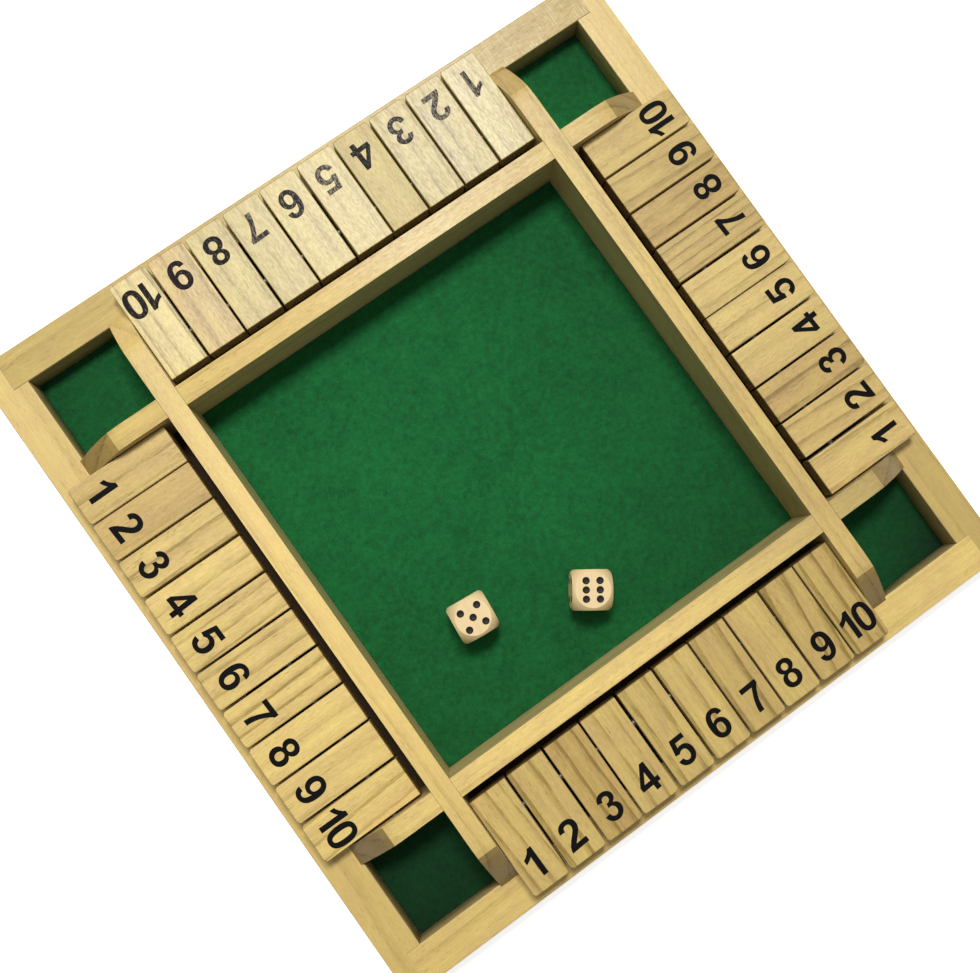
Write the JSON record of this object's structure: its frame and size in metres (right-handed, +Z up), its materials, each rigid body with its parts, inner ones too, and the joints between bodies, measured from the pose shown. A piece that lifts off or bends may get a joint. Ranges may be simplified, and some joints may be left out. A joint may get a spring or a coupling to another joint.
{
  "type": "shut the box game",
  "caption": "Square wooden shut the box board for four players, with hinged number tiles on steel rods along each side of a felt-lined dice well, and loose dice.",
  "frame": {"origin": "middle of the underside, on the surface that the board lies on", "axes": "+Z up; -Y is the south side, whose row reads from 1 at -X to 10 at +X"},
  "size_m": [0.3, 0.3, 0.028],
  "materials": {
    "frame_wood": "pale pine, clear satin lacquer, eased edges",
    "tile_wood": "pale pine with grain along each tile, clear lacquer, black printed number",
    "base_wood": "raw plywood",
    "felt": "short green felt",
    "rod_steel": "drawn steel wire",
    "die_wood": "pale wood, polished, black pips"
  },
  "bodies": {
    "board": {"base_panel": "base_wood", "felt_well": "felt", "felt_south_west": "felt", "felt_south_east": "felt", "felt_north_east": "felt", "felt_north_west": "felt", "rail_south": "frame_wood", "rail_east": "frame_wood", "rail_north": "frame_wood", "rail_west": "frame_wood", "divider_south": "frame_wood", "divider_east": "frame_wood", "divider_north": "frame_wood", "divider_west": "frame_wood", "rod_south": "rod_steel", "rod_east": "rod_steel", "rod_north": "rod_steel", "rod_west": "rod_steel"},
    "tile_south_01": {"tile_south_01": "tile_wood"},
    "tile_south_02": {"tile_south_02": "tile_wood"},
    "tile_south_03": {"tile_south_03": "tile_wood"},
    "tile_south_04": {"tile_south_04": "tile_wood"},
    "tile_south_05": {"tile_south_05": "tile_wood"},
    "tile_south_06": {"tile_south_06": "tile_wood"},
    "tile_south_07": {"tile_south_07": "tile_wood"},
    "tile_south_08": {"tile_south_08": "tile_wood"},
    "tile_south_09": {"tile_south_09": "tile_wood"},
    "tile_south_10": {"tile_south_10": "tile_wood"},
    "tile_east_01": {"tile_east_01": "tile_wood"},
    "tile_east_02": {"tile_east_02": "tile_wood"},
    "tile_east_03": {"tile_east_03": "tile_wood"},
    "tile_east_04": {"tile_east_04": "tile_wood"},
    "tile_east_05": {"tile_east_05": "tile_wood"},
    "tile_east_06": {"tile_east_06": "tile_wood"},
    "tile_east_07": {"tile_east_07": "tile_wood"},
    "tile_east_08": {"tile_east_08": "tile_wood"},
    "tile_east_09": {"tile_east_09": "tile_wood"},
    "tile_east_10": {"tile_east_10": "tile_wood"},
    "tile_north_01": {"tile_north_01": "tile_wood"},
    "tile_north_02": {"tile_north_02": "tile_wood"},
    "tile_north_03": {"tile_north_03": "tile_wood"},
    "tile_north_04": {"tile_north_04": "tile_wood"},
    "tile_north_05": {"tile_north_05": "tile_wood"},
    "tile_north_06": {"tile_north_06": "tile_wood"},
    "tile_north_07": {"tile_north_07": "tile_wood"},
    "tile_north_08": {"tile_north_08": "tile_wood"},
    "tile_north_09": {"tile_north_09": "tile_wood"},
    "tile_north_10": {"tile_north_10": "tile_wood"},
    "tile_west_01": {"tile_west_01": "tile_wood"},
    "tile_west_02": {"tile_west_02": "tile_wood"},
    "tile_west_03": {"tile_west_03": "tile_wood"},
    "tile_west_04": {"tile_west_04": "tile_wood"},
    "tile_west_05": {"tile_west_05": "tile_wood"},
    "tile_west_06": {"tile_west_06": "tile_wood"},
    "tile_west_07": {"tile_west_07": "tile_wood"},
    "tile_west_08": {"tile_west_08": "tile_wood"},
    "tile_west_09": {"tile_west_09": "tile_wood"},
    "tile_west_10": {"tile_west_10": "tile_wood"},
    "die_west": {"die_west": "die_wood"},
    "die_east": {"die_east": "die_wood"}
  },
  "joints": [
    {"name": "die_west_lift", "type": "slide", "parent": "board", "child": "die_west", "axis": [0, 0, 1], "range_m": [0, 0.06]},
    {"name": "die_east_lift", "type": "slide", "parent": "board", "child": "die_east", "axis": [0, 0, 1], "range_m": [0, 0.06]},
    {"name": "tile_south_01_flip", "type": "hinge", "parent": "board", "child": "tile_south_01", "pos_m": [-0.07955, -0.1144, 0.01925], "axis": [-1, 0, 0], "range_deg": [0, 141.5]},
    {"name": "tile_east_01_flip", "type": "hinge", "parent": "board", "child": "tile_east_01", "pos_m": [0.115, -0.07912, 0.01925], "axis": [0, -1, 0], "range_deg": [0, 142.5]},
    {"name": "tile_north_01_flip", "type": "hinge", "parent": "board", "child": "tile_north_01", "pos_m": [0.07955, 0.1144, 0.01925], "axis": [1, 0, 0], "range_deg": [0, 141.5]},
    {"name": "tile_west_01_flip", "type": "hinge", "parent": "board", "child": "tile_west_01", "pos_m": [-0.1142, 0.07955, 0.01925], "axis": [0, 1, 0], "range_deg": [0, 141]},
    {"name": "tile_south_10_flip", "type": "hinge", "parent": "board", "child": "tile_south_10", "pos_m": [0.07955, -0.1144, 0.01925], "axis": [-1, 0, 0], "range_deg": [0, 141.5]},
    {"name": "tile_east_10_flip", "type": "hinge", "parent": "board", "child": "tile_east_10", "pos_m": [0.115, 0.07955, 0.01925], "axis": [0, -1, 0], "range_deg": [0, 142.5]},
    {"name": "tile_north_10_flip", "type": "hinge", "parent": "board", "child": "tile_north_10", "pos_m": [-0.07955, 0.1144, 0.01925], "axis": [1, 0, 0], "range_deg": [0, 141.5]},
    {"name": "tile_west_10_flip", "type": "hinge", "parent": "board", "child": "tile_west_10", "pos_m": [-0.1142, -0.07877, 0.01925], "axis": [0, 1, 0], "range_deg": [0, 141]},
    {"name": "tile_south_05_flip", "type": "hinge", "parent": "board", "child": "tile_south_05", "pos_m": [-0.00832, -0.1144, 0.01925], "axis": [-1, 0, 0], "range_deg": [0, 141.5]},
    {"name": "tile_east_05_flip", "type": "hinge", "parent": "board", "child": "tile_east_05", "pos_m": [0.115, -0.00813, 0.01925], "axis": [0, -1, 0], "range_deg": [0, 142.5]},
    {"name": "tile_north_05_flip", "type": "hinge", "parent": "board", "child": "tile_north_05", "pos_m": [0.00905, 0.1144, 0.01925], "axis": [1, 0, 0], "range_deg": [0, 141.5]},
    {"name": "tile_west_05_flip", "type": "hinge", "parent": "board", "child": "tile_west_05", "pos_m": [-0.1142, 0.00956, 0.01925], "axis": [0, 1, 0], "range_deg": [0, 141]},
    {"name": "tile_south_02_flip", "type": "hinge", "parent": "board", "child": "tile_south_02", "pos_m": [-0.06176, -0.1144, 0.01925], "axis": [-1, 0, 0], "range_deg": [0, 141.5]},
    {"name": "tile_south_03_flip", "type": "hinge", "parent": "board", "child": "tile_south_03", "pos_m": [-0.04396, -0.1144, 0.01925], "axis": [-1, 0, 0], "range_deg": [0, 141.5]},
    {"name": "tile_south_04_flip", "type": "hinge", "parent": "board", "child": "tile_south_04", "pos_m": [-0.02642, -0.1144, 0.01925], "axis": [-1, 0, 0], "range_deg": [0, 141.5]},
    {"name": "tile_south_06_flip", "type": "hinge", "parent": "board", "child": "tile_south_06", "pos_m": [0.00948, -0.1144, 0.01925], "axis": [-1, 0, 0], "range_deg": [0, 141.5]},
    {"name": "tile_south_07_flip", "type": "hinge", "parent": "board", "child": "tile_south_07", "pos_m": [0.02696, -0.1144, 0.01925], "axis": [-1, 0, 0], "range_deg": [0, 141.5]},
    {"name": "tile_south_08_flip", "type": "hinge", "parent": "board", "child": "tile_south_08", "pos_m": [0.04451, -0.1144, 0.01925], "axis": [-1, 0, 0], "range_deg": [0, 141.5]},
    {"name": "tile_south_09_flip", "type": "hinge", "parent": "board", "child": "tile_south_09", "pos_m": [0.06218, -0.1144, 0.01925], "axis": [-1, 0, 0], "range_deg": [0, 141.5]},
    {"name": "tile_east_02_flip", "type": "hinge", "parent": "board", "child": "tile_east_02", "pos_m": [0.115, -0.0609, 0.01925], "axis": [0, -1, 0], "range_deg": [0, 142.5]},
    {"name": "tile_east_03_flip", "type": "hinge", "parent": "board", "child": "tile_east_03", "pos_m": [0.115, -0.04335, 0.01925], "axis": [0, -1, 0], "range_deg": [0, 142.5]},
    {"name": "tile_east_04_flip", "type": "hinge", "parent": "board", "child": "tile_east_04", "pos_m": [0.115, -0.02581, 0.01925], "axis": [0, -1, 0], "range_deg": [0, 142.5]},
    {"name": "tile_east_06_flip", "type": "hinge", "parent": "board", "child": "tile_east_06", "pos_m": [0.115, 0.00893, 0.01925], "axis": [0, -1, 0], "range_deg": [0, 142.5]},
    {"name": "tile_east_07_flip", "type": "hinge", "parent": "board", "child": "tile_east_07", "pos_m": [0.115, 0.02678, 0.01925], "axis": [0, -1, 0], "range_deg": [0, 142.5]},
    {"name": "tile_east_08_flip", "type": "hinge", "parent": "board", "child": "tile_east_08", "pos_m": [0.115, 0.04439, 0.01925], "axis": [0, -1, 0], "range_deg": [0, 142.5]},
    {"name": "tile_east_09_flip", "type": "hinge", "parent": "board", "child": "tile_east_09", "pos_m": [0.115, 0.062, 0.01925], "axis": [0, -1, 0], "range_deg": [0, 142.5]},
    {"name": "tile_north_02_flip", "type": "hinge", "parent": "board", "child": "tile_north_02", "pos_m": [0.06182, 0.1144, 0.01925], "axis": [1, 0, 0], "range_deg": [0, 141.5]},
    {"name": "tile_north_03_flip", "type": "hinge", "parent": "board", "child": "tile_north_03", "pos_m": [0.04427, 0.1144, 0.01925], "axis": [1, 0, 0], "range_deg": [0, 141.5]},
    {"name": "tile_north_04_flip", "type": "hinge", "parent": "board", "child": "tile_north_04", "pos_m": [0.0266, 0.1144, 0.01925], "axis": [1, 0, 0], "range_deg": [0, 141.5]},
    {"name": "tile_north_06_flip", "type": "hinge", "parent": "board", "child": "tile_north_06", "pos_m": [-0.00893, 0.1144, 0.01925], "axis": [1, 0, 0], "range_deg": [0, 141.5]},
    {"name": "tile_north_07_flip", "type": "hinge", "parent": "board", "child": "tile_north_07", "pos_m": [-0.02654, 0.1144, 0.01925], "axis": [1, 0, 0], "range_deg": [0, 141.5]},
    {"name": "tile_north_08_flip", "type": "hinge", "parent": "board", "child": "tile_north_08", "pos_m": [-0.04433, 0.1144, 0.01925], "axis": [1, 0, 0], "range_deg": [0, 141.5]},
    {"name": "tile_north_09_flip", "type": "hinge", "parent": "board", "child": "tile_north_09", "pos_m": [-0.06188, 0.1144, 0.01925], "axis": [1, 0, 0], "range_deg": [0, 141.5]},
    {"name": "tile_west_02_flip", "type": "hinge", "parent": "board", "child": "tile_west_02", "pos_m": [-0.1142, 0.06237, 0.01925], "axis": [0, 1, 0], "range_deg": [0, 141]},
    {"name": "tile_west_03_flip", "type": "hinge", "parent": "board", "child": "tile_west_03", "pos_m": [-0.1142, 0.04489, 0.01925], "axis": [0, 1, 0], "range_deg": [0, 141]},
    {"name": "tile_west_04_flip", "type": "hinge", "parent": "board", "child": "tile_west_04", "pos_m": [-0.1142, 0.02722, 0.01925], "axis": [0, 1, 0], "range_deg": [0, 141]},
    {"name": "tile_west_06_flip", "type": "hinge", "parent": "board", "child": "tile_west_06", "pos_m": [-0.1142, -0.00805, 0.01925], "axis": [0, 1, 0], "range_deg": [0, 141]},
    {"name": "tile_west_07_flip", "type": "hinge", "parent": "board", "child": "tile_west_07", "pos_m": [-0.1142, -0.02577, 0.01925], "axis": [0, 1, 0], "range_deg": [0, 141]},
    {"name": "tile_west_08_flip", "type": "hinge", "parent": "board", "child": "tile_west_08", "pos_m": [-0.1142, -0.04331, 0.01925], "axis": [0, 1, 0], "range_deg": [0, 141]},
    {"name": "tile_west_09_flip", "type": "hinge", "parent": "board", "child": "tile_west_09", "pos_m": [-0.1142, -0.06098, 0.01925], "axis": [0, 1, 0], "range_deg": [0, 141]}
  ]
}
